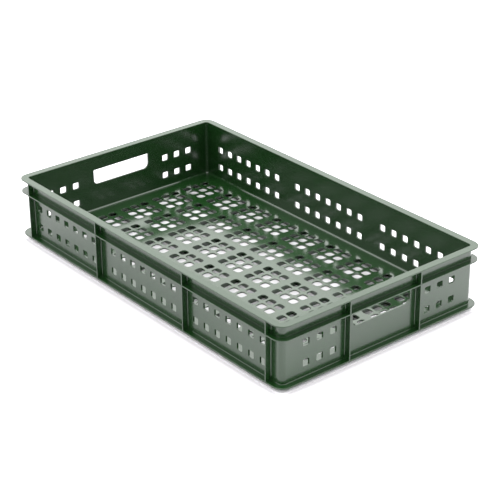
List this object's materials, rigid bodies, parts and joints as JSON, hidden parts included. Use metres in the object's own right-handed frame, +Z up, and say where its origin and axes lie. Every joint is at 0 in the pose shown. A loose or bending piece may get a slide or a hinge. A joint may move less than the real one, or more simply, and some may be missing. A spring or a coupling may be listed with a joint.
{
  "type": "stacking plastic crate",
  "caption": "Low rectangular stacking crate in dark green plastic with perforated floor and walls, flanged rim and a hand-hole in each end.",
  "frame": {"origin": "on the ground under the middle of the crate", "axes": "+X along the length, +Y across the width, +Z up out of the open top"},
  "size_m": [0.762, 0.457, 0.123],
  "materials": {
    "green_plastic": "dark green injection-moulded polyethylene, semi-gloss"
  },
  "bodies": {
    "root": {"top_rim": "green_plastic", "mid_flange": "green_plastic", "base_flange": "green_plastic", "stacking_foot": "green_plastic", "floor_grille": "green_plastic", "floor_long_rib_1": "green_plastic", "floor_long_rib_2": "green_plastic", "floor_long_rib_3": "green_plastic", "floor_long_rib_4": "green_plastic", "floor_long_rib_5": "green_plastic", "floor_long_rib_6": "green_plastic", "floor_cross_rib_1": "green_plastic", "floor_cross_rib_2": "green_plastic", "floor_cross_rib_3": "green_plastic", "floor_cross_rib_4": "green_plastic", "floor_cross_rib_5": "green_plastic", "floor_cross_rib_6": "green_plastic", "floor_cross_rib_7": "green_plastic", "floor_cross_rib_8": "green_plastic", "floor_cross_rib_9": "green_plastic", "floor_cross_rib_10": "green_plastic", "front_wall": "green_plastic", "back_wall": "green_plastic", "left_end_wall": "green_plastic", "right_end_wall": "green_plastic", "corner_post_front_left": "green_plastic", "corner_post_front_right": "green_plastic", "corner_post_back_left": "green_plastic", "corner_post_back_right": "green_plastic", "front_lower_rib_1": "green_plastic", "front_lower_rib_2": "green_plastic", "front_lower_rib_3": "green_plastic", "front_lower_rib_4": "green_plastic", "front_upper_rib_1": "green_plastic", "front_upper_rib_2": "green_plastic", "front_upper_rib_3": "green_plastic", "front_upper_rib_4": "green_plastic", "back_lower_rib_1": "green_plastic", "back_lower_rib_2": "green_plastic", "back_lower_rib_3": "green_plastic", "back_lower_rib_4": "green_plastic", "back_upper_rib_1": "green_plastic", "back_upper_rib_2": "green_plastic", "back_upper_rib_3": "green_plastic", "back_upper_rib_4": "green_plastic", "left_end_lower_rib_1": "green_plastic", "left_end_lower_rib_2": "green_plastic", "left_end_upper_rib_1": "green_plastic", "left_end_upper_rib_2": "green_plastic", "right_end_lower_rib_1": "green_plastic", "right_end_lower_rib_2": "green_plastic", "right_end_upper_rib_1": "green_plastic", "right_end_upper_rib_2": "green_plastic"}
  },
  "joints": []
}
